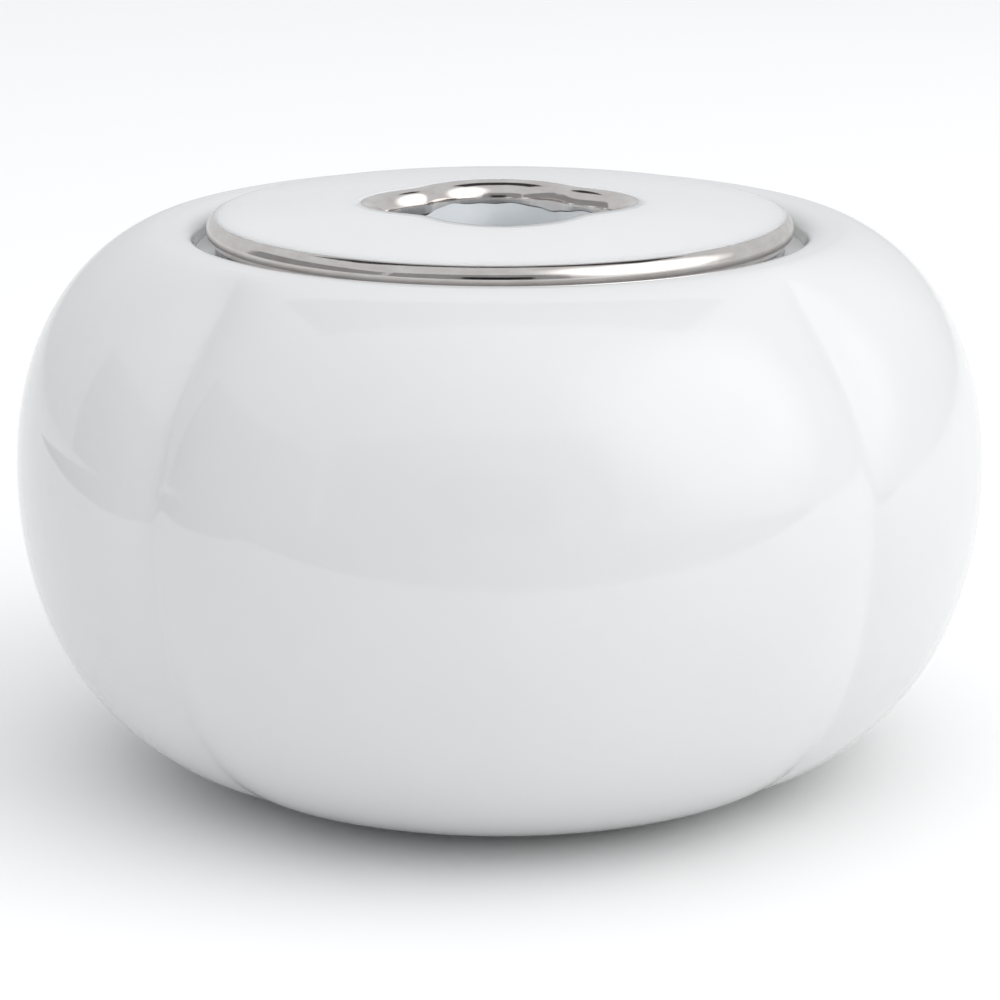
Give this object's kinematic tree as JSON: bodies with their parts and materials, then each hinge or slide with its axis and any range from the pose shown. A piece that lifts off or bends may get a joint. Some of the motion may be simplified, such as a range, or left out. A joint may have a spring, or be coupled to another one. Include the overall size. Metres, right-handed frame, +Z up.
{
  "type": "scent diffuser",
  "caption": "Four-lobed porcelain scent diffuser pot with a sunken round lid, a metal-lustre edge, a four-leaved opening, and an inner cup that holds a porous stone.",
  "frame": {"origin": "on the table, under the middle of the foot", "axes": "+Z up along the lid's axis; the lobes point along +X, +Y, -X and -Y, so -Y is the front"},
  "size_m": [0.12, 0.12, 0.0708],
  "materials": {
    "glazed_porcelain": "glossy clear glaze over white porcelain",
    "lid_porcelain": "glossy clear glaze over white porcelain",
    "platinum_lustre": "hand-painted fired platinum lustre, bright polish",
    "lining_lustre": "hand-painted fired platinum lustre, uneven lower edge",
    "seal_silicone": "translucent silicone, satin",
    "cup_porcelain": "glossy clear glaze over white porcelain",
    "mat_silicone": "grey silicone, matte",
    "stone": "porous unglazed stone, matte",
    "pad_silicone": "clear silicone, satin"
  },
  "bodies": {
    "pot": {"pot_body": "glazed_porcelain", "cup_mat": "mat_silicone", "foot_pad_1": "pad_silicone", "foot_pad_2": "pad_silicone", "foot_pad_3": "pad_silicone", "foot_pad_4": "pad_silicone"},
    "cup": {"scent_cup": "cup_porcelain"},
    "stone": {"scent_stone": "stone"},
    "lid_ring": {"lid_seal": "seal_silicone"},
    "lid": {"lid_disc": "lid_porcelain", "lid_edge_band": "platinum_lustre", "opening_lining": "lining_lustre"}
  },
  "joints": [
    {"name": "cup_lift", "type": "slide", "parent": "pot", "child": "cup", "axis": [0, 0, 1], "range_m": [0, 0.065]},
    {"name": "stone_lift", "type": "slide", "parent": "cup", "child": "stone", "axis": [0, 0, 1], "range_m": [0, 0.032]},
    {"name": "lid_lift", "type": "slide", "parent": "stone", "child": "lid_ring", "axis": [0, 0, 1], "range_m": [0, 0.04]},
    {"name": "lid_turn", "type": "hinge", "parent": "lid_ring", "child": "lid", "pos_m": [0, 0, 0.0654], "axis": [0, 0, 1], "continuous": true}
  ]
}
